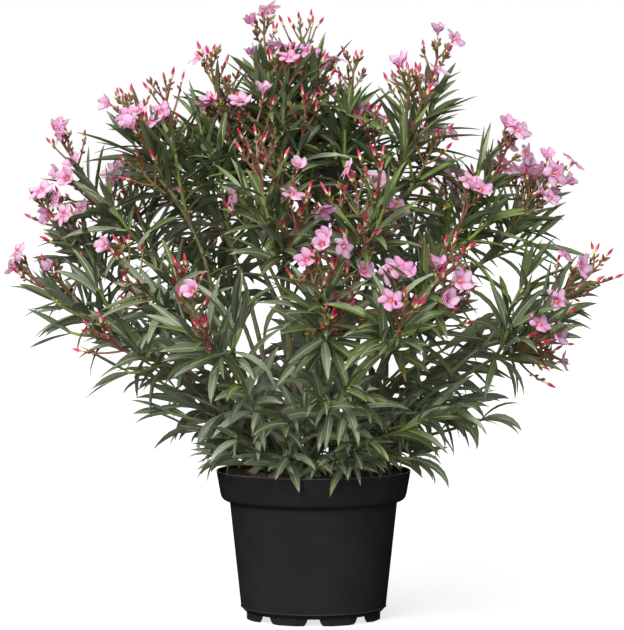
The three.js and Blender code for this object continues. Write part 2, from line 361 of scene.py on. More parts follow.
# the opening in each notch: distance from its middle and height, in millimetres
notchAside = np.array([0, 9.6, 10.3, 11.2, 12.8, 14.8, 17.5])
notchHeight = np.array([11.0, 11.0, 9.6, 7.0, 3.8, 1.4, 0])
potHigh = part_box("pot")[1]
rimRadius, potHeight = potHigh.x, potHigh.z


def notchPlace(angle):
    # distance along the ring from the middle of the nearest notch
    spacing = 2 * np.pi / container["notches"]
    return np.abs((angle + spacing / 2) % spacing - spacing / 2) * container["ringRadius"]


def potProfile():
    # radius and height of each ring of the container's skin, from its underside out, up and in.
    # The offsets of a millimetre or two round its corners
    c = container
    collarZ = potHeight - c["collarHeight"]
    shoulderZ = collarZ - c["shoulderDrop"]
    ring, ringTop, wall = c["ringRadius"], c["ringHeight"], c["wall"]
    inRing, floorZ = ring - c["ringWall"], ringTop + c["floorThickness"]
    under = [(r, ringTop) for r in np.linspace(0.0005, inRing - 0.001, 28)]
    foot = [(inRing, ringTop - 0.0008), (inRing, 0.0006), (inRing + 0.0008, 0), (ring - 0.0012, 0)]
    foot += [(ring, z) for z in (0.0012, 0.004, 0.007, 0.0095, 0.0112, 0.0119)]
    body = [(ring + 0.0004, ringTop + 0.0006), (ring + 0.0024, ringTop + 0.002),
            (c["bodyFootRadius"] - 0.0016, c["bodyFootHeight"] - 0.003),
            (c["bodyFootRadius"] - 0.0004, c["bodyFootHeight"] - 0.0019),
            (c["bodyFootRadius"] + c["bead"], c["bodyFootHeight"] - 0.0012),
            (c["bodyFootRadius"] + c["bead"], c["bodyFootHeight"] - 0.0007)]
    body += [(mix(c["bodyFootRadius"], c["shoulderRadius"], s), mix(c["bodyFootHeight"], shoulderZ, s))
             for s in (0, 0.1, 0.3, 0.5, 0.7, 0.9, 0.975)]
    # a fine groove, then the rounded step to the collar: a quarter of an ellipse, level to upright
    turn = np.linspace(0, np.pi / 2, 7)
    out = c["shoulderRadius"] + 0.0008
    reach, drop = c["collarRadius"] - out - 0.0007, c["shoulderDrop"]
    step = [(c["shoulderRadius"] - 0.0008, shoulderZ - 0.0004)]
    step += [(out + reach * math.sin(a), shoulderZ + drop * (1 - math.cos(a))) for a in turn]
    collar = [(mix(c["collarRadius"], rimRadius, s), mix(collarZ + 0.001, potHeight - 0.0012, s))
              for s in (0.02, 0.3, 0.6, 0.9, 1)]
    lip = [(rimRadius - 0.0006, potHeight - 0.0003), (rimRadius - 0.0013, potHeight),
           (rimRadius - 0.002, potHeight - 0.0003)]
    inner = [(rimRadius - wall, potHeight - 0.0012), (c["collarRadius"] - wall, collarZ),
             (c["shoulderRadius"] - wall, shoulderZ), (c["bodyFootRadius"] - wall, c["bodyFootHeight"]),
             (ring - wall - 0.001, floorZ), (0.0005, floorZ)]
    return np.array(under + foot + body + step + collar + lip + inner), len(under), len(foot)


def potSkin(profile, underRows, footRows):
    # the profile carried round the axis, with extra columns at the edges of notches and recesses
    c = container
    spacing = 2 * np.pi / c["notches"]
    edges = np.append(notchAside[1:] * millimetre, c["recessWidth"] / 2 - np.array([0, 0.0006, 0.002]))
    angle = np.arange(c["columns"]) * 2 * np.pi / c["columns"]
    extra = [k * spacing + s * edges / c["ringRadius"] for k in range(c["notches"]) for s in (-1, 1)]
    angle = np.unique(np.round(np.concatenate([angle, *extra]) % (2 * np.pi), 5))
    radius = np.tile(profile[:, :1], (1, len(angle)))
    height = np.tile(profile[:, 1:], (1, len(angle)))
    # the ring's rows are squeezed up over each opening, and the wall beside it is set back
    aside = notchPlace(angle)
    lift = np.interp(aside, notchAside * millimetre, notchHeight * millimetre)
    rows = slice(underRows, underRows + footRows)
    height[rows] = lift + height[rows] * (1 - lift / (c["ringHeight"] + 0.0006))
    outer = slice(underRows + 3, underRows + footRows)
    halfWidth = c["recessWidth"] / 2 - 0.0025 * ease(height[outer], 0.0095, 0.0122)
    inside = 1 - ease(aside, halfWidth - 0.0006, halfWidth)
    radius[outer] -= c["recessDepth"] * inside * (1 - ease(height[outer], 0.0113, 0.0119))
    # the drain holes dish the floor
    hole = (np.round(angle / spacing - 0.5) + 0.5) * spacing
    x, y = radius * np.cos(angle), radius * np.sin(angle)
    away = np.hypot(x - c["drainPitch"] * np.cos(hole), y - c["drainPitch"] * np.sin(hole))[:underRows]
    dish = 1 - ease(away, 0.8 * c["drainRadius"], c["drainRadius"])
    height[:underRows] += 0.8 * c["floorThickness"] * dish
    return np.stack([x, y, height], axis=-1)


def makeContainer():
    c = container
    profile, underRows, footRows = potProfile()
    skin = potSkin(profile, underRows, footRows)
    # satin black plastic with a moulded grain too fine to see as more than softness
    plastic = grainy("mouldedPolypropylene", c["plastic"], patch=0.05, roughness=0.5, relief=0.00003,
                     reliefPatch=0.0016, gloss=0.0)
    # the lip and the foot bead are painted a lighter grey and made glossier: a painted highlight for
    # the thin grey lines of light that they catch
    rubbed = grainy("rubbedPolypropylene", c["rubbed"], patch=0.02, roughness=0.35, relief=0.00002,
                    reliefPatch=0.001, gloss=0.4)
    z = profile[:, 1]
    # rows at the lip and the foot bead, which carry the painted highlight
    edge = (z > potHeight - 0.0013) | (np.abs(z - c["bodyFootHeight"] + 0.00095) < 0.0004)
    tone = (edge[:-1] & edge[1:]).astype(int)[None, :, None]
    makePiece("container", [shell(skin[None], tone)], [plastic, rubbed], ["pot"], sharpAngle=32)


makeContainer()


# substrate: moist peat with composted bark chips
mulch = {"edgeBelowRim": 0.008, "plateauBelowRim": 0.001, "fall": (0.10, 0.157), "settled": 0.002,
         "lumps": 420, "lump": 0.004, "lumpSizes": (0.004, 0.014), "usualLump": 0.009,
         "rows": 54, "columns": 150, "clearance": 0.0004, "peat": ("#2a2018", "#51402f")}
# sizes are length, width and thickness; corners go round each of the four sections
chip = {"count": 620, "within": 0.153, "smallest": (0.006, 0.003, 0.0012), "largest": (0.017, 0.008, 0.0035),
        "corners": 5, "sections": (-0.5, -0.42, 0.4, 0.5), "bulk": (0.45, 1, 0.9, 0.35),
        "ragged": (0.7, 1.2), "mix": (0.5, 0.32, 0.18),
        "barks": (("#2a1d15", "#4a3325"), ("#3e2018", "#643426"), ("#4a3c2c", "#75614a"))}


def innerRadius(height):
    # the container's inside above the shoulder, from its heights and radii
    c = container
    collarZ = potHeight - c["collarHeight"]
    radii = np.array([c["shoulderRadius"], c["collarRadius"], rimRadius]) - c["wall"]
    return np.interp(height, [collarZ - c["shoulderDrop"], collarZ, potHeight], radii)


mounds = rng.uniform(-0.16, 0.16, (mulch["lumps"], 2))
moundSize = rng.uniform(*mulch["lumpSizes"], mulch["lumps"])
moundHeight = rng.uniform(-0.5, 1, mulch["lumps"]) * mulch["lump"] * moundSize / mulch["usualLump"]


def mulchHeight(x, y):
    # a low plateau that falls to the wall, with round mounds and dips added to it
    toWall = ease(np.hypot(x, y), *mulch["fall"])
    base = mix(potHeight - mulch["plateauBelowRim"], potHeight - mulch["edgeBelowRim"], toWall)
    away = (x[..., None] - mounds[:, 0]) ** 2 + (y[..., None] - mounds[:, 1]) ** 2
    return base + (moundHeight * np.exp(-away / moundSize ** 2)).sum(-1) - mulch["settled"]


def makeSubstrate():
    # the lumpy top from the wall in to the axis, on a side that follows the container's inside
    c, m = container, mulch
    angle = np.arange(m["columns"]) * 2 * np.pi / m["columns"]
    edge = innerRadius(potHeight - m["edgeBelowRim"]) - 0.0003
    r = np.linspace(edge, m["clearance"], m["rows"])[:, None] * np.ones(m["columns"])
    x, y = r * np.cos(angle), r * np.sin(angle)
    z = mulchHeight(x, y)
    z[0] = np.minimum(z[0], potHeight - m["edgeBelowRim"])
    low = c["ringHeight"] + c["floorThickness"] + 0.0003
    collarZ, thick, gap = potHeight - c["collarHeight"], c["wall"], m["clearance"]
    side = np.array([(gap, low), (c["ringRadius"] - thick - 0.0015, low),
                     (c["bodyFootRadius"] - thick - gap, c["bodyFootHeight"]),
                     (c["shoulderRadius"] - thick - gap, collarZ - c["shoulderDrop"]),
                     (c["collarRadius"] - thick - gap, collarZ)])
    across = side[:, :1] * np.stack([np.cos(angle), np.sin(angle)])[:, None]
    wall = np.concatenate([np.moveaxis(across, 0, -1), np.tile(side[:, 1:, None], (1, m["columns"], 1))], -1)
    skin = np.concatenate([wall, np.stack([x, y, z], axis=-1)])
    # dark brown and dull, in crumbs of a few millimetres
    peat = grainy("moistPeat", m["peat"], patch=0.011, roughness=0.95, relief=0.0012, reliefPatch=0.0022)
    makePiece("substrate", [shell(skin[None], 0)], [peat], ["substrate"])


def makeBarkChips():
    # flat blocks with ragged corners, each turned at random and half sunk
    n = chip["count"]
    spin, out = rng.uniform(0, 2 * np.pi, n), chip["within"] * np.sqrt(rng.uniform(0, 1, n))
    at = np.stack([out * np.cos(spin), out * np.sin(spin)], axis=1)
    centre = np.concatenate([at, mulchHeight(at[:, 0], at[:, 1])[:, None] + 0.0004], axis=1)
    long = unit(np.concatenate([rng.normal(size=(n, 2)), rng.normal(0, 0.25, (n, 1))], axis=1))
    normal = around(long, np.broadcast_to(up, long.shape), rng.normal(0, 0.3, n))
    size = rng.uniform(chip["smallest"], chip["largest"], (n, 3))
    along = np.array(chip["sections"])
    centres = centre[:, None] + along[:, None] * size[:, None, :1] * long[:, None]
    corner = np.arange(chip["corners"]) * 2 * np.pi / chip["corners"]
    ragged = rng.uniform(*chip["ragged"], (n, len(along), len(corner))) * np.array(chip["bulk"])[:, None]
    x = ragged * size[:, 1, None, None] / 2 * np.sin(corner)
    y = ragged * size[:, 2, None, None] / 2 * np.cos(corner)
    grid = (n, len(along), 3)
    tangent, normal = np.broadcast_to(long[:, None], grid), np.broadcast_to(normal[:, None], grid)
    chips = rings(centres, tangent, normal, x, y)
    # chips by the wall are pushed in until they are clear of it
    reach = np.linalg.norm(chips[..., :2], axis=-1, keepdims=True)
    chips[..., :2] *= np.minimum(1, (innerRadius(chips[..., 2:]) - 0.001) / reach)
    # dull dark, red and pale brown flakes, which set the chips off from the peat
    barks = [grainy("compostedBark" + str(i), pair, patch=0.006, roughness=0.88, relief=0.0004,
                    reliefPatch=0.0016) for i, pair in enumerate(chip["barks"])]
    tone = rng.choice(len(barks), n, p=chip["mix"])[:, None, None]
    makePiece("barkChips", [shell(chips, tone)], barks, sharpAngle=30)


makeSubstrate()
makeBarkChips()


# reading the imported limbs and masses

def pointsOf(name):
    points = np.empty(len(nodes[name].data.vertices) * 3, np.float32)
    nodes[name].data.vertices.foreach_get("co", points)
    return np.unique(points.reshape(-1, 3).round(6), axis=0).astype(float)


def readLimb(name):
    # the limb's middle line, and its radius at foot and end by a straight fit past the root flare
    points = pointsOf(name)
    curve, share = curveThrough(points)
    away = np.linalg.norm(points - onCurve(curve[None], share), axis=1)
    clear = share > 0.15
    slope, foot = np.polyfit(share[clear], away[clear], 1)
    return {"curve": curve, "foot": foot, "end": foot + slope}


limbs = {name: readLimb(name) for name in sorted(nodes) if name.startswith(("stem_", "bough_"))}
masses = {name: pointsOf(name) for name in sorted(nodes) if name.startswith("foliage_")}
print("read", len(limbs), "limbs and", len(masses), "masses")


# bark: grey-brown limbs with lengthwise cracks, leaf scars in threes and swollen nodes.
# Swellings, scars, cracks and the root flare are shares of the radius; node sizes are shares of
# the spacing from node to node
bark = {"sides": 14, "rows": 80, "nodeSpacing": 0.031, "nodeSwell": 0.07, "nodeSize": 0.12,
        "scar": 0.11, "scarPlace": 0.1, "scarSize": 0.09, "crack": 0.03, "flare": 0.15, "boughFlare": 0.35,
        "flareShare": 0.06, "brownTo": (0.5, 0.8), "stemSunk": 0.02, "boughSunk": 0.03,
        "mature": ("#4e4638", "#766b55"), "young": ("#4a4a2f", "#6a6641")}


def makeLimbs():
    # a round skin on each middle line, its radius changed by how far it is along and round
    b = bark
    names = list(limbs)
    curves = np.array([limbs[n]["curve"] for n in names])
    foot = np.array([limbs[n]["foot"] for n in names])[:, None, None]
    end = np.array([limbs[n]["end"] for n in names])[:, None, None]
    isStem = np.array([n.startswith("stem_") for n in names])[:, None]
    # each foot is sunk a little way into what it grows from
    sunk = np.where(isStem, b["stemSunk"], b["boughSunk"])
    share = np.linspace(0, 1, b["rows"]) ** 1.1 * (1 + sunk) - sunk
    length = np.linalg.norm(onCurve(curves, np.ones(len(names))) - curves[:, 0], axis=1)[:, None]
    angle = np.arange(b["sides"]) * 2 * np.pi / b["sides"]
    phase = rng.uniform(0, 2 * np.pi, (len(names), 1, 1))
    s = share[..., None]
    count = (share * length / b["nodeSpacing"])[..., None] + phase
    offNode = np.abs(count - np.round(count))
    swell = b["nodeSwell"] * np.exp(-(offNode / b["nodeSize"]) ** 2)
    # three scars on each node, set between those of the node below
    scarSide = np.clip(np.cos(3 * (angle - phase) + np.pi * np.round(count)), 0, 1) ** 3
    scar = b["scar"] * np.exp(-((offNode - b["scarPlace"]) / b["scarSize"]) ** 2) * scarSide
    crack = b["crack"] * (np.sin(5 * angle + 9 * s + phase) + np.sin(7 * angle - 14 * s + 2 * phase))
    flare = b["flare"] * np.where(isStem[..., None], 1, b["boughFlare"])
    flare = flare * np.clip(1 - s / b["flareShare"], 0, 1) ** 2
    radius = mix(foot, end, s) * (1 + flare) * (1 + swell + scar + crack)
    skin = tubes(curves, share, radius, b["sides"])
    # brown below, olive where the limb is younger
    tone = (share[:, :-1] > rng.uniform(*b["brownTo"], (len(names), 1))).astype(int)[..., None]
    # dull grey-brown and rough, against smoother olive
    barks = [grainy("matureOleanderBark", b["mature"], patch=0.012, roughness=0.8, relief=0.0006,
                    reliefPatch=0.0022),
             grainy("youngOleanderBark", b["young"], patch=0.016, roughness=0.65, relief=0.0003,
                    reliefPatch=0.002)]
    makePiece("limbs", [shell(skin, tone)], barks, names)


makeLimbs()


# the branching rule: a leader in each mass, side shoots from it, and low shoots from the stems.
# For each kind of shoot: its radius at the foot, how it rises at its tip, the share of it that is
# bare of leaves, how far it turns out of its parent, and its chance of blossom high in the crown
growth = {"sideShoots": {"stem": 5, "bough": 4, "low": 4}, "crownFrom": 0.68, "crownExtra": 3,
          "limbEnd": 0.985, "sideReach": 0.82, "sideFork": (0.35, 0.6), "forks": (0.03, 0.5),
          "lowFork": (0.1, 0.45), "lowFrom": 0.085, "lowLine": 0.3,
          "headRoom": 0.051, "leafRoom": 0.045, "peduncle": 0.056, "tipRadius": 0.0018,
          "basalShoots": 3, "basalFork": (0.04, 0.14), "basalReach": 0.085, "basalSpan": (0.6, 1.1),
          "basalTurn": 1.3, "basalRise": (0.2, 0.9), "frontFrom": (0.02, 0.06), "frontLean": 0.45,
          "frontReach": 0.35, "overLip": 0.035, "bloomFrom": (0.44, 0.66), "leastBloom": 0.2,
          "kinds": {
              "leader": {"radius": 0.0042, "rise": 0.45, "bare": 0.03, "turnOut": 0, "bloom": 1.0},
              "side": {"radius": 0.0033, "rise": 0.45, "bare": 0.16, "turnOut": 0.9, "bloom": 0.74},
              "low": {"radius": 0.0033, "rise": 0.1, "bare": 0.22, "turnOut": 1.1, "bloom": 0.1},
              "basal": {"radius": 0.0020, "rise": 0.2, "bare": 0.2, "turnOut": 1.2, "bloom": 0.0}}}
# directions spread evenly over a ball, along a spiral, and how far each mass reaches in each
spiral = np.arange(240) + 0.5
latitude = 1 - spiral / 120
goldenAngle = np.pi * (3 - math.sqrt(5))
outward = np.stack([np.sqrt(1 - latitude ** 2) * np.cos(goldenAngle * spiral),
                    np.sqrt(1 - latitude ** 2) * np.sin(goldenAngle * spiral), latitude], axis=1)
reaches = {name: (points @ outward.T).max(0) for name, points in masses.items()}


def beyond(points):
    # how far each point is outside the mass that holds it best, or less than 0 inside
    return np.min([(points @ outward.T - reach).max(-1) for reach in reaches.values()], axis=0)


def addShoot(shoots, kind, fork, along, out, target, mass, thickest=1.0):
    # a shoot bends from its fork towards the target, and stops short of it by what its tip bears.
    # Low shoots seldom bloom, and blossom grows thicker towards the top
    k = growth["kinds"][kind]
    chance = k["bloom"] * float(mix(growth["leastBloom"], 1, ease(target[2], *growth["bloomFrom"])))
    blooms = rng.uniform() < chance
    end = target - growth["headRoom" if blooms else "leafRoom"] * unit(target - fork)
    reach = np.linalg.norm(end - fork)
    leaving = unit(along + k["turnOut"] * out)
    arriving = unit(unit(target - fork) + k["rise"] * up)
    curve = curveBetween(fork, leaving * reach, end, arriving * reach)
    shoots.append({"curve": curve, "radius": min(k["radius"], thickest), "length": reach,
                   "bare": k["bare"], "mass": mass, "kind": kind, "blooms": blooms})


def farEnd(points, start):
    # the middle of the part of a mass that is furthest from the start
    away = np.linalg.norm(points - start, axis=1)
    return points[away > 0.96 * away.max()].mean(0)


def sideTargets(points, start, tip, count, turn):
    # points of the mass that lie furthest out in evenly spread directions round its line, at its
    # shoulder and near its tip by turns
    axis = unit(tip - start)
    along = (points - start) @ axis
    share = along / np.linalg.norm(tip - start)
    out = points - start - along[:, None] * axis
    wide = np.linalg.norm(out, axis=1).max()
    targets = []
    for k in range(count):
        way = around(axis, anySide(axis), np.array(turn + 2 * np.pi * k / count))
        high = 1.0 + 1.6 * (k % 2)
        score = out @ way / wide + high * np.clip(share, 0, 0.9) - 3 * np.clip(share - 0.9, 0, 1)
        best = int(np.argmax(score))
        targets.append((start + along[best] * axis + growth["sideReach"] * out[best], share[best]))
    return targets


def growFromLimb(shoots, mass, points, limb, count, turn):
    # a leader goes on from the limb's end, and side shoots leave the leader
    at = np.array(growth["limbEnd"])
    start, along = placeOn(limb["curve"], at)
    tip = farEnd(points, start)
    addShoot(shoots, "leader", start, along, unit(tip - start), tip, mass, limb["end"])
    leader = shoots[-1]["curve"]
    for target, share in sideTargets(points, start, tip, count, turn):
        at = np.array(np.clip(share - rng.uniform(*growth["sideFork"]), *growth["forks"]))
        fork, along = placeOn(leader, at)
        addShoot(shoots, "side", fork, along, unit(target - fork), target, mass)


def growLow(shoots, mass, points, stems, count, turn):
    # each low shoot leaves the stem that is nearest to its line
    near = points[np.argmin(np.hypot(points[:, 0], points[:, 1]))]
    out = unit(np.array([near[0], near[1], 0]))
    start = np.append(growth["lowFrom"] * out[:2], near[2])
    tip = farEnd(points, start)
    for target in [tip] + [side for side, share in sideTargets(points, start, tip, count, turn)]:
        at = np.array(rng.uniform(*growth["lowFork"]))
        feet = np.array([onCurve(stem, at) for stem in stems])
        gap = np.linalg.norm(feet[:, :2] - growth["lowLine"] * target[:2], axis=1)
        stem = stems[int(np.argmin(gap))]
        fork, along = placeOn(stem, at)
        addShoot(shoots, "low", fork, along, unit(target - fork), target, mass)


def growBasal(shoots, stem):
    # a short leafy shoot near the foot of a stem, over the substrate
    g = growth
    at = np.array(rng.uniform(*g["basalFork"]))
    fork, along = placeOn(stem, at)
    angle = math.atan2(fork[1], fork[0]) + rng.uniform(-g["basalTurn"], g["basalTurn"])
    # those at the front are longer, and lean out over the lip
    front = ease(-fork[1], *g["frontFrom"])
    out = np.array([math.cos(angle), math.sin(angle), rng.uniform(*g["basalRise"])])
    out[2] -= g["frontLean"] * front
    reach = g["basalReach"] * (rng.uniform(*g["basalSpan"]) + g["frontReach"] * front)
    target = fork + (reach + g["leafRoom"]) * out
    target[2] = max(target[2], potHeight + g["overLip"])
    lowMasses = [m for m in masses if m.startswith("foliage_low_")]
    mass = min(lowMasses, key=lambda m: np.linalg.norm(masses[m] - target, axis=1).min())
    addShoot(shoots, "basal", fork, along, out, target, mass)


def growShoots():
    shoots = []
    stems = [limbs[n]["curve"] for n in limbs if n.startswith("stem_")]
    for mass, points in masses.items():
        plain = mass.replace("foliage_", "")
        limb = limbs.get("stem_" + plain) or limbs.get("bough_" + plain)
        kind = "stem" if "stem_" + plain in limbs else "bough" if limb else "low"
        inCrown = points[:, 2].mean() > growth["crownFrom"]
        count = growth["sideShoots"][kind] + growth["crownExtra"] * int(inCrown)
        turn = rng.uniform(0, 2 * np.pi)
        if limb:
            growFromLimb(shoots, mass, points, limb, count, turn)
        else:
            growLow(shoots, mass, points, stems, count, turn)
    for stem in stems * growth["basalShoots"]:
        growBasal(shoots, stem)
    return shoots


shoots = growShoots()
curves = np.array([s["curve"] for s in shoots])
lengths = np.array([s["length"] for s in shoots])
kinds = np.array([s["kind"] for s in shoots])
leafyFrom = np.array([s["bare"] for s in shoots])
footRadii = np.array([s["radius"] for s in shoots])
blooms = np.array([s["blooms"] for s in shoots])
leafyTo = np.where(blooms, 1 - growth["peduncle"] / lengths, 1.0)
stalkTone = rng.choice([3, 4], len(shoots))
print("grown:", len(shoots), "shoots,", int(blooms.sum()), "in bloom")


# twigs: green wood that ripens to brown, and reddens in the flower stalks. Ripe wood ends, and
# olive wood follows it, by shares of the shoot's length
twig = {"sides": 7, "rows": 16, "ripeTo": (0.1, 0.45), "olive": 0.35, "footOfTip": 1.25, "barrenTip": 0.6,
        "tints": {"ripeTwig": "#5a5138", "oliveTwig": "#63683a", "freshTwig": "#76873b",
                  "oliveStalk": "#74603f", "redStalk": "#774a3f"}}


def twigShell():
    # radius falls evenly from foot to tip, and drops where a flower stalk begins
    n = len(shoots)
    share = np.broadcast_to(np.linspace(0, 1, twig["rows"]), (n, twig["rows"]))
    tip = np.where(blooms, 1.0, twig["barrenTip"])[:, None] * growth["tipRadius"]
    thick = mix(footRadii[:, None], growth["tipRadius"] * twig["footOfTip"], share)
    radius = np.where(share > leafyTo[:, None], mix(thick, tip, 0.7), thick)
    # tints in the order of the twig's own: ripe, olive and fresh wood, then the stalk's
    ripeTo = rng.uniform(*twig["ripeTo"], (n, 1)) * np.where(kinds == "low", 2, 1)[:, None]
    place = share[:, :-1]
    wood = np.where(place < ripeTo, 0, np.where(place < ripeTo + twig["olive"], 1, 2))
    tone = np.where(place >= leafyTo[:, None] - 0.02, np.where(blooms, stalkTone, 2)[:, None], wood)
    return shell(tubes(curves, share, radius, twig["sides"]), tone[..., None])


# leaves: narrow, leathery, in whorls of three, each folded along a pale midrib. Spreads, bends and
# folds are in degrees
leaf = {"spacing": 0.0232, "lowSpacing": 0.033, "longest": 0.124, "width": 0.0171, "lowWidth": 0.0184,
        "rib": 0.0006, "thickness": 0.0005, "rows": (0, 0.07, 0.17, 0.33, 0.5, 0.68, 0.85, 1.0),
        "sizeAlong": ((0, 0.25, 0.6, 0.85, 1), (0.84, 1, 0.96, 0.8, 0.56)), "sizes": (0.8, 1.08),
        "basalSize": 0.78, "widths": (0.8, 1.1),
        "footSpread": 72, "tipSpread": 14, "bloomTipSpread": 38, "footBend": 66, "tipBend": 20,
        "bends": (0.35, 1.2), "folds": (10, 34), "twist": 0.35,
        "footShed": 0.2, "shed": 0.08, "openSide": 0.45, "youngFrom": 0.86, "youngShoots": 0.6,
        "yellow": 0.015, "lowYellow": 0.06, "settle": 0.014, "proud": 0.004, "shortest": 0.8,
        "reachOut": (0.006, 0.028), "underRim": (-0.01, 0.055), "wallRoom": 0.008, "lipRoom": 0.002,
        "blades": ("#5a6b30", "#4f5b2f", "#4f5a36", "#525c40", "#5a644c", "#6b755e", "#857c34"),
        "backs": ("#556040", "#5a634c"), "midribs": ("#8c9764", "#98a180"), "stalk": "#7d8a45",
        # the tint's number low down, and what it loses up into the crown, to the right and when young. The
        # fall into the crown and to the right is partly painted shade, and the lighter tints low down and
        # on the left partly painted light; the young whorls' freshness is their own
        "tintRule": {"low": 4.1, "crown": 2.7, "crownFrom": 0.3, "crownOver": 0.4, "right": 0.9,
                     "rightOver": 0.3, "young": 2.4, "spraysDiffer": 0.7, "leavesDiffer": 0.6},
        "zones": {"leavesLow": (0, 0.47), "leavesMiddle": (0.47, 0.68), "leavesCrown": (0.68, 2)}}
yellowBlade = len(leaf["blades"]) - 1


def leafSkins(base, way, axis, length, width, bend, twist, fold):
    # the midrib bends down in its own upright plane by the share of its length to the power 1.3
    u = np.array(leaf["rows"])
    level = unit(way * [1, 1, 0] + 0.02 * anySide(way))
    rise = np.arcsin(np.clip(way[:, 2], -1, 1))[:, None] - bend[:, None] * u ** 1.3
    rise = np.clip(rise, -1.5, 1.5)[..., None]
    tangent = np.cos(rise) * level[:, None] + np.sin(rise) * up
    step = np.diff(u)[None, :, None] * length[:, None, None] * (tangent[:, 1:] + tangent[:, :-1]) / 2
    centres = base[:, None] + np.concatenate([np.zeros((len(base), 1, 3)), np.cumsum(step, axis=1)], axis=1)
    side = unit(np.cross(way, axis))[:, None]
    side = unit(side - dot(side, tangent) * tangent)
    normal = around(tangent, np.cross(side, tangent), twist[:, None] * u)
    # half width: a sine of the share to the power 0.9, itself to the power 0.85, on a short stalk
    half = np.maximum(np.sin(np.pi * u ** 0.9).clip(0) ** 0.85, 0.13 * (1 - u) + 0.015) * width[:, None] / 2
    rib = np.minimum(leaf["rib"] * (1.2 - 0.8 * u), 0.5 * half)
    wide = np.cos(fold)[:, None] * half
    lift = np.sin(fold)[:, None] * half
    deep = -(leaf["thickness"] + 0.0009 * (1 - u)) * np.ones_like(half)
    x = np.stack([rib, wide, 0 * half, -wide, -rib], axis=-1)
    y = np.stack([0 * half, lift, deep, lift, 0 * half], axis=-1)
    return rings(centres, tangent, normal, x, y)


def leafTones(spray, place, young):
    # a number among the blade tints for each leaf: lighter and greyer low down, partly the older
    # leaves' own grey and partly painted light against the shade there; darker and fresher high up,
    # the darkness partly painted shade; lighter on the left and darker on the right, painted light
    # and shade from the side that the key lamp lights; fresher on young whorls
    t = leaf["tintRule"]
    # lighter low down, darker into the crown: partly the leaves' own tints, partly painted light and shade
    wanted = t["low"] - t["crown"] * np.clip((place[:, 2] - t["crownFrom"]) / t["crownOver"], 0, 1)
    # painted light and shade: lighter tints on the left, darker ones to the right
    wanted = wanted - t["right"] * np.clip(place[:, 0] / t["rightOver"], -1, 1)
    wanted = wanted + spray + rng.normal(0, t["leavesDiffer"], len(place))
    wanted = np.where(young, wanted - t["young"], wanted)
    return np.clip(np.round(wanted), 0, yellowBlade - 1).astype(int)


def meetsRim(midribs):
    # whether a midrib runs through the container's wall: any of its points, filled in to every
    # fifth of a row, lies at the wall's radius and under the lip
    steps = np.linspace(0, 1, 5, endpoint=False)[:, None, None]
    fine = midribs[:, None, :-1] * (1 - steps) + midribs[:, None, 1:] * steps
    r = np.hypot(fine[..., 0], fine[..., 1])
    atWall = (r > rimRadius - leaf["wallRoom"]) & (r < rimRadius + leaf["wallRoom"] / 2)
    return (atWall & (fine[..., 2] < potHeight + leaf["lipRoom"])).any((1, 2))


def whorlPlaces():
    # for every leaf: its shoot, its share of the leafy part, whether its whorl is the last one, its
    # base, the shoot's direction there, and the direction that it stands out to
    spacing = np.where(kinds == "low", leaf["lowSpacing"], leaf["spacing"])
    whorls = np.maximum(((leafyTo - leafyFrom) * lengths / spacing).astype(int), 3)
    shoot = np.repeat(np.arange(len(shoots)), 3 * whorls)
    number = np.concatenate([np.repeat(np.arange(n), 3) for n in whorls])
    along = (number + 0.5) / whorls[shoot]
    share = mix(leafyFrom[shoot], leafyTo[shoot], along ** 0.82)
    base, axis = placeOn(curves[shoot], share)
    third = np.tile(np.arange(3), len(shoot) // 3)
    start = rng.uniform(0, 2 * np.pi, len(shoots))[shoot]
    turn = start + number * np.pi / 3 + third * 2 * np.pi / 3 + rng.normal(0, 0.16, len(shoot))
    return shoot, along, number == whorls[shoot] - 1, base, axis, around(axis, anySide(axis), turn)


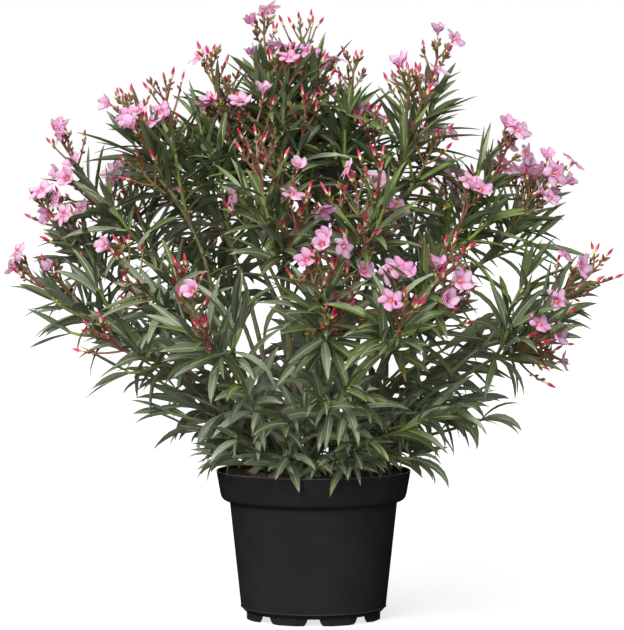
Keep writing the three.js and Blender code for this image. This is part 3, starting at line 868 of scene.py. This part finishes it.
def growLeaves():
    f = leaf
    shoot, along, last, base, axis, radial = whorlPlaces()
    n = len(shoot)
    low, basal = np.isin(kinds[shoot], ("low", "basal")), kinds[shoot] == "basal"
    # leaves stand up at the tip of a shoot, most of all where there is no flower head, and spread
    # towards its foot
    tipSpread = np.where(blooms[shoot], f["bloomTipSpread"], f["tipSpread"])
    way = leaning(axis, radial, mix(f["footSpread"], tipSpread, along ** 1.1) + rng.normal(0, 9, n))
    size = np.interp(along, *f["sizeAlong"]) * rng.uniform(*f["sizes"], n)
    size *= np.where(basal, f["basalSize"], 1)
    length = f["longest"] * size
    broad = mix(f["lowWidth"], f["width"], ease(base[:, 2], 0.35, 0.6))
    width = broad * size ** 0.6 * rng.uniform(*f["widths"], n)
    bend = np.where(low, f["footBend"], mix(f["footBend"], f["tipBend"], along))
    bend = np.radians(bend) * rng.uniform(*f["bends"], n) ** 1.3
    keep = rng.uniform(size=n) > np.where(along < 0.3, f["footShed"], f["shed"])
    # the plant is more open low down on its left, but no shoot's tip is left without leaves
    bare = f["openSide"] * ease(-base[:, 0], 0.08, 0.22) * (1 - ease(base[:, 2], 0.42, 0.52))
    keep &= (rng.uniform(size=n) > bare) | last
    fresh = (along > f["youngFrom"]) & (rng.uniform(size=len(shoots)) < f["youngShoots"])[shoot]
    spray = rng.normal(0, f["tintRule"]["spraysDiffer"], len(shoots))[shoot]
    tones = leafTones(spray, base, fresh)
    yellow = (rng.uniform(size=n) < np.where(low, f["lowYellow"], f["yellow"])) & (along < 0.35)
    tones = np.where(yellow, yellowBlade, tones)
    fold = np.radians(rng.uniform(*f["folds"], n))
    twist = rng.normal(0, f["twist"], n)
    skin = leafSkins(base, way, axis, length, width, bend, twist, fold)
    # leaves that would reach out of the masses are shorter, or aren't there
    over = np.maximum(beyond(skin[:, -1, 0] - f["settle"] * up) - f["proud"], 0)
    length = np.maximum(length - over, f["shortest"] * length)
    skin = leafSkins(base, way, axis, length, width, bend, twist, fold)
    over = beyond(skin[:, -1, 0] - f["settle"] * up)
    keep &= (over < rng.uniform(*f["reachOut"], n)) | basal | last
    # the lowest leaf tips stay near the container's rim, and leaves pass over it
    keep &= skin[:, -1, 0, 2] > potHeight - rng.uniform(*f["underRim"], n)
    keep &= ~meetsRim(skin[:, :, 2])
    mass = np.array([shoots[i]["mass"] for i in shoot[keep]])
    return skin[keep], tones[keep], mass


def makeLeaves():
    skins, tones, mass = growLeaves()
    # upper sides have a waxy sheen, backs are paler and matt, and midribs show as a thin light line
    kindsOfTissue = (("leafBlade", leaf["blades"], 0.34), ("leafBack", leaf["backs"], 0.6),
                     ("leafMidrib", leaf["midribs"], 0.5))
    tissues = [plantTissue(name + str(i), colour, roughness)
               for name, colours, roughness in kindsOfTissue for i, colour in enumerate(colours)]
    tissues.append(plantTissue("leafStalk", leaf["stalk"], 0.5))
    back, midrib = len(leaf["blades"]), len(leaf["blades"]) + len(leaf["backs"])
    middles = {m: points[:, 2].mean() for m, points in masses.items()}
    height = np.array([middles[m] for m in mass])
    for name, (low, high) in leaf["zones"].items():
        here = (height >= low) & (height < high)
        stands = [m for m in masses if low <= middles[m] < high]
        blade = tones[here][:, None]
        grey = (blade > 2).astype(int)
        # round the section: blade, back, back, blade, midrib
        tone = np.concatenate([blade, back + grey, back + grey, blade, midrib + grey], axis=1)
        tone = np.repeat(tone[:, None], len(leaf["rows"]) - 1, axis=1)
        tone[:, 0] = len(tissues) - 1
        makePiece(name, [shell(skins[here], tone)], tissues, stands, sharpAlong=True)
    print("leaves:", len(tones))


makeLeaves()


# flower heads: stalks in threes that bear buds in pairs, and a flower or a ripe bud at the end.
# Lower and upper are the lengths of the two tiers of stalks, and spreads are in degrees
head = {"lower": 0.052, "upper": 0.031, "lowerSpread": 45, "upperSpread": 34, "stalkRadius": 0.0017,
        "sizes": (0.7, 1.1), "proud": 0.010, "flowerHeight": (0.5, 0.68, 0.8, 0.9),
        "flowerShare": (0.15, 0.27, 0.26, 0.15), "flowerAside": (-0.34, -0.18, 0.16, 0.28),
        "asideShare": (1.6, 0.8, 0.8, 2.6),
        # nine places on each stalk, its end and four pairs from there down: where each one is, how far
        # its bud stands off the stalk, the chance of a bud, and the bud's size
        "places": {"share": (1.0, 0.98, 0.97, 0.87, 0.86, 0.74, 0.73, 0.56, 0.54),
                   "spread": (8, 26, 30, 30, 34, 34, 36, 38, 40),
                   "chance": (1.0, 0.92, 0.9, 0.85, 0.85, 0.75, 0.7, 0.55, 0.5),
                   "size": (1.0, 0.7, 0.62, 0.62, 0.6, 0.58, 0.56, 0.52, 0.48)}}
# buds: each shape lists shares of the length and of the radius
bud = {"length": 0.026, "radius": 0.0027, "ripeFrom": 0.78, "youngLength": 0.013, "youngRadius": 0.0025,
       "redYoung": 0.25,
       "shape": [(0, 0.4), (0.1, 0.5), (0.22, 0.72), (0.36, 0.66), (0.5, 0.84), (0.66, 1), (0.86, 0.6),
                 (1, 0.06)],
       "youngShape": [(0, 0.3), (0.3, 0.55), (0.62, 1), (1, 0.12)],
       "tints": {"redCalyx": "#6b3f2e", "oliveCalyx": "#6d6235", "creamBudTube": "#d2c690",
                 "blushBudTube": "#d2908f", "crimsonBud": "#a0123a", "rosyBud": "#b53a60"},
       "youngTints": {"oliveSepals": "#716a3b", "brownSepals": "#643c2d", "redYoungBud": "#892235"}}


def growHeads():
    # two tiers of three stalks at the tip of each shoot in bloom, the upper set across the lower
    heads = np.flatnonzero(blooms)
    count = len(heads)
    curve = np.repeat(curves[heads], 6, axis=0)
    tier = np.tile([0, 0, 0, 1, 1, 1], count)
    n = len(tier)
    share = np.where(tier == 0, mix(np.repeat(leafyTo[heads], 6), 1, 0.45), 0.995)
    base, axis = placeOn(curve, share)
    turn = np.repeat(rng.uniform(0, 2 * np.pi, count), 6) + np.tile([0, 2, 4, 1, 3, 5], count) * np.pi / 3
    radial = around(axis, anySide(axis), turn + rng.normal(0, 0.2, n))
    spread = np.where(tier == 0, head["lowerSpread"], head["upperSpread"]) + rng.normal(0, 8, n)
    size = np.repeat(rng.uniform(*head["sizes"], count), 6)
    reach = np.where(tier == 0, head["lower"], head["upper"]) * size * rng.uniform(0.75, 1.15, n)
    way = leaning(axis, radial, spread)
    rise = unit(way + 0.3 * axis + 0.3 * up)
    end = base + reach[:, None] * unit(way + rise)
    stalks = curveBetween(base, way * reach[:, None], end, rise * reach[:, None])
    # heads stay in the masses, as the leaves do
    topmost = cadBox[1][2] - 0.8 * bud["length"]
    keep = (rng.uniform(size=n) > 0.1) & (beyond(end) < head["proud"]) & (end[:, 2] < topmost)
    return stalks[keep], np.repeat(heads, 6)[keep]


def spindles(base, way, length, radius, shape, sides):
    # round bodies along straight lines: shape lists the share of the length and of the radius of
    # each ring, and every ring is turned a little on the last one, as a furled corolla is
    u, r = np.array(shape).T
    centres = base[:, None] + u[:, None] * length[:, None, None] * way[:, None]
    grid = (len(base), len(u), 3)
    normal = around(way, anySide(way), np.zeros(len(base)))
    angle = np.arange(sides) * 2 * np.pi / sides + u[:, None] * 0.9
    wide = r[:, None] * radius[:, None, None]
    return rings(centres, np.broadcast_to(way[:, None], grid), np.broadcast_to(normal[:, None], grid),
                 wide * np.sin(angle), wide * np.cos(angle))


def makeBuds(base, way, size):
    ripe = size > bud["ripeFrom"]
    some = np.flatnonzero(ripe)
    n = len(some)
    # ripe buds have a green-brown calyx, a pale tube and a plump pointed crimson spindle, with the
    # soft gloss of a furled petal
    tissues = tissuesOf(bud["tints"], 0.45)
    calyx = rng.choice(2, n)
    tip = rng.choice([4, 5], n, p=(0.7, 0.3))
    tube, blush, rosy = np.full(n, 2), rng.choice([2, 3], n), np.full(n, 5)
    tone = np.stack([calyx, calyx, tube, blush, rosy, tip, tip], axis=1)[..., None]
    skin = spindles(base[some], way[some], bud["length"] * size[some], bud["radius"] * size[some] ** 0.6,
                    bud["shape"], 6)
    makePiece("ripeBuds", [shell(skin, tone)], tissues)
    # young buds are short and still closed in their duller sepals, brown, olive or red-tipped
    tissues = tissuesOf(bud["youngTints"], 0.5)
    some = np.flatnonzero(~ripe)
    foot = rng.choice(2, len(some), p=(0.5, 0.5))
    top = np.where(rng.uniform(size=len(some)) < bud["redYoung"], 2, foot)
    tone = np.stack([foot, foot, top], axis=1)[..., None]
    skin = spindles(base[some], way[some], bud["youngLength"] * size[some] / 0.6,
                    bud["youngRadius"] * (size[some] / 0.6) ** 0.5, bud["youngShape"], 5)
    makePiece("youngBuds", [shell(skin, tone)], tissues)
    print("buds:", n, "ripe and", len(some), "young")


# flowers, in five states: flat open, open, cupped, half closed and withered, whose petals rise by
# so many degrees
petal = {"length": 0.0190, "width": 0.0205, "throat": 0.0040, "tube": 0.018, "skew": 0.0034,
         "throatRise": 66, "throatShare": 0.4, "rows": (0, 0.14, 0.34, 0.6, 0.86, 1.0),
         "widths": (0.36, 0.60, 0.88, 1.0, 0.93, 0.58), "rises": (0, 12, 34, 60, 72),
         "states": (0.16, 0.22, 0.27, 0.28, 0.07), "sizes": (0.78, 1.04), "withered": 0.78,
         "toLight": (-0.1, -0.45, 0.1),
         # place and radius of each ring from the calyx to the throat, and of the cone of stamens
         "tubeRings": [(-1.0, 0.0007), (-0.86, 0.0019), (-0.8, 0.0014), (-0.45, 0.0020), (0.0, 0.0043),
                       (-0.12, 0.0022), (0.24, 0.0004)],
         "tubeTints": ("flowerCalyx", "flowerCalyx", "paleTube", "blushTube", "throat", "stamens"),
         "tints": {"palePetal": "#d09abb", "petalEdge": "#c0719c", "rosePetal": "#c684ad",
                   "roseEdge": "#b2578b", "fadedPetal": "#b281a3", "fadedEdge": "#985986",
                   # the backs' own pale pink, lightened further as painted light for the glow through shaded
                   # petals
                   "petalBack": "#dd9cbd", "petalVeins": "#b33a66", "petalFoot": "#c06c96",
                   "throat": "#b84870", "flowerCalyx": "#6b4a31", "paleTube": "#dccb96",
                   "blushTube": "#cf7f9c", "stamens": "#d8b060"}}


def petalSkins(centre, axis, turn, cup, size):
    # five blades round an axis, broad and slanted at the end, each with one edge lifted over the
    # next blade's, like a pinwheel. A blade leaves the throat steeply, and its rise eases to the
    # flower's own by the square of what is left of the throat's share of its length
    p = petal
    u = np.array(p["rows"])
    n = len(centre)
    axis5 = np.broadcast_to(axis[:, None], (n, 5, 3))
    out = around(axis5, anySide(axis5), turn[:, None] + np.arange(5) * 2 * np.pi / 5)
    side = np.cross(axis5, out)[:, :, None]
    steep = np.clip(1 - u / p["throatShare"], 0, 1) ** 2
    rise = mix(cup[:, None], math.radians(p["throatRise"]), steep)[:, None, :, None]
    way = np.cos(rise) * out[:, :, None] + np.sin(rise) * axis5[:, :, None]
    normal = np.cross(way, side)
    step = np.diff(u)[:, None] * p["length"] * (way[:, :, 1:] + way[:, :, :-1]) / 2
    middle = p["throat"] * out[:, :, None]
    middle = np.concatenate([middle, middle + np.cumsum(step, axis=2)], axis=2)
    half = p["width"] / 2 * np.array(p["widths"])[:, None]
    # round the section: middle, edge, two points of the back close to its middle, edge
    s, t = u[:, None], np.array([0.0, 0.72, 1.0, 0.15, -0.15, -1.0, -0.72])
    back = np.array([0, 0, 0, 1, 1, 0, 0])
    x = half * t + p["skew"] * s ** 1.5
    y = 0.34 * half * t * s - 0.08 * p["length"] * t ** 2 * s ** 2
    z = (0.0022 + 0.0014 * np.sin(6 * s)) * t * s - 0.0010 * t ** 2 * s - 0.0026 * s ** 2 - 0.0005 * back
    offset = sum(w[..., None, :] * v[..., None] for w, v in ((side, x), (way, y), (normal, z)))
    skin = centre[:, None, None, None] + size[:, None, None, None, None] * (middle[..., None, :] + offset)
    return skin.reshape(n * 5, len(u), len(t), 3)


def petalTones(blade):
    # a tint for each face of each petal, from the number of its flower's own tint: round the
    # section they go inner, edge, back, vein, back, edge, inner
    tint = {name: i for i, name in enumerate(petal["tints"])}
    rows = len(petal["rows"]) - 1
    tone = blade[:, None, None] + np.zeros((rows, 1), int) + np.array([0, 1, 0, 0, 0, 1, 0])
    isFaded = blade[:, None, None] == tint["fadedPetal"]
    # the backs' tint is their own pale pink made lighter still: painted light for the glow through a shaded
    # petal
    tone[:, :, [2, 4]] = np.where(isFaded, tint["fadedEdge"], tint["petalBack"])
    tone[:, :, 3] = tint["petalBack"]
    tone[:, :3, 3] = tint["petalVeins"]
    tone[:, 0, [0, 1, 5, 6]] = tint["throat"]
    tone[:, 1, [0, 6]] = tint["petalFoot"]
    return tone


def makeBlossom(base, way):
    # flowers face outwards and up, and a little to the light
    n = len(base)
    out = unit(base - np.array([0, 0, 0.45])) * [1, 1, 0.5]
    axis = unit(0.8 * out + 0.3 * way + np.array(petal["toLight"]) + rng.normal(0, 0.4, (n, 3)))
    centre = base + 0.7 * petal["tube"] * way + 0.5 * petal["tube"] * axis
    axis = unit(mix(axis, unit(centre - base), 0.25))
    state = rng.choice(5, n, p=petal["states"])
    withered = state == 4
    cup = np.radians(np.array(petal["rises"]))[state] + rng.normal(0, 0.06, n)
    size = rng.uniform(*petal["sizes"], n) * np.where(withered, petal["withered"], 1)
    skin = petalSkins(centre, axis, rng.uniform(0, 2 * np.pi, n), cup, size)
    # petals are matt and let some light through, so that they glow softly where they stand in shade
    thin = {"Subsurface Weight": 0.6, "Subsurface Scale": 0.006, "Subsurface Radius": (1.0, 0.6, 0.8)}
    names = list(petal["tints"])
    tissues = tissuesOf(petal["tints"], 0.6, **thin)
    faded, pale, rose = (names.index(name) for name in ("fadedPetal", "palePetal", "rosePetal"))
    blade = np.repeat(np.where(withered, faded, rng.choice([pale, rose], n, p=(0.6, 0.4))), 5)
    # the tube widens from its calyx to its throat, and the cone of stamens closes it
    tube = spindles(centre, axis, petal["tube"] * size, size, petal["tubeRings"], 6)
    tubeTone = np.array([names.index(name) for name in petal["tubeTints"]])[:, None]
    makePiece("blossom", [shell(skin, petalTones(blade)), shell(tube, tubeTone)], tissues,
              sharpAngle=60)
    print("flowers:", n)


def makeTwigs(stalks, owner):
    # the shoots themselves, and on those in bloom round stalks that thin out to their tips
    rows = np.broadcast_to(np.linspace(0, 1, 5), (len(stalks), 5))
    skin = tubes(stalks, rows, mix(1.3, 0.75, rows) * head["stalkRadius"], 5)
    # soft brown, olive and fresh green bark with little gloss, and red-brown stalks
    woods = tissuesOf(twig["tints"], 0.5)
    makePiece("twigs", [twigShell(), shell(skin, stalkTone[owner][:, None, None])], woods)


def makeHeads():
    stalks, owner = growHeads()
    makeTwigs(stalks, owner)
    share, opening, likely, usual = (np.tile(values, len(stalks)) for values in head["places"].values())
    each, n = len(head["places"]["share"]), len(share)
    place = np.tile(np.arange(each), len(stalks))
    on = np.repeat(stalks, each, axis=0)
    base, axis = placeOn(on, share)
    # the two of a pair are opposite each other, and each pair is set across the last one
    turn = np.repeat(rng.uniform(0, 2 * np.pi, len(stalks)), each)
    turn = turn + place * np.pi + (place + 1) // 2 * np.pi / 2
    side = around(axis, anySide(axis), turn + rng.normal(0, 0.3, n))
    way = leaning(axis, side, opening + rng.normal(0, 7, n))
    chance = rng.uniform(size=n)
    tip = base + bud["length"] * way
    room = (beyond(tip) < head["proud"]) & (tip[:, 2] < cadBox[1][2])
    # flowers are fewer in the low and the topmost heads, and more in those to the sides
    opened = np.interp(base[:, 2], head["flowerHeight"], head["flowerShare"])
    opened = opened * np.interp(base[:, 0], head["flowerAside"], head["asideShare"])
    isFlower = (place == 0) & room & (chance < opened)
    isBud = ~isFlower & (room | (place == 0)) & (chance < likely)
    size = usual * rng.uniform(0.7, 1.2, n)
    makeBuds(base[isBud], way[isBud], size[isBud])
    makeBlossom(base[isFlower], way[isFlower])


makeHeads()
